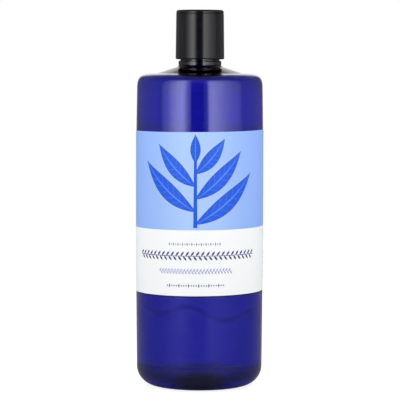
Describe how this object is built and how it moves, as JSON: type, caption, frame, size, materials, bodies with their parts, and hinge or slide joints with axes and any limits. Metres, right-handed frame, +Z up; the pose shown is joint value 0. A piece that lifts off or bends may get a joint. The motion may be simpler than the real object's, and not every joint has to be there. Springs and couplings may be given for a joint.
{
  "type": "hand soap refill bottle",
  "caption": "Round translucent blue bottle with a low shoulder, a wrap label, and a tall smooth black screw cap whose top disc tilts to pour.",
  "frame": {"origin": "middle of the bottle's base, on the surface it stands on", "axes": "+Z up along the bottle's axis, the label's printed front faces -Y"},
  "size_m": [0.083, 0.0829, 0.2437],
  "materials": {
    "blue_pet": "clear cobalt-blue blown plastic, high gloss",
    "blue_soap": "clear liquid seen through the blue wall",
    "white_film": "smooth printed film, low sheen",
    "pale_blue_ink": "printed, low sheen",
    "deep_blue_ink": "printed, low sheen",
    "grey_ink": "printed",
    "navy_ink": "printed",
    "lilac_ink": "printed",
    "slate_ink": "printed",
    "white_foam": "fine closed-cell foam",
    "black_plastic": "smooth moulded black, satin gloss"
  },
  "bodies": {
    "filled_bottle": {"bottle": "blue_pet", "liquid_soap": "blue_soap", "wrap_label": "white_film", "label_blue_field": "pale_blue_ink", "label_leaf_sprig": "deep_blue_ink", "print_bar_grey": "grey_ink", "print_bar_navy": "navy_ink", "print_bar_lilac": "lilac_ink", "print_bar_slate": "slate_ink"},
    "liner": {"cap_liner": "white_foam"},
    "cap": {"cap_shell": "black_plastic"},
    "disc": {"cap_disc": "black_plastic"}
  },
  "joints": [
    {"name": "cap_lift", "type": "slide", "parent": "filled_bottle", "child": "liner", "axis": [0, 0, 1], "range_m": [0, 0.01905]},
    {"name": "cap_turn", "type": "hinge", "parent": "liner", "child": "cap", "pos_m": [0, 0, 0.2123], "axis": [0, 0, 1], "range_deg": [0, 1620]},
    {"name": "disc_tilt", "type": "hinge", "parent": "cap", "child": "disc", "pos_m": [0, 0, 0.2411], "axis": [-1, 0, 0], "range_deg": [0, 17]}
  ],
  "couplings": [
    {"joint": "cap_lift", "follows": "cap_turn", "m_per_rad": 0.00067375}
  ]
}
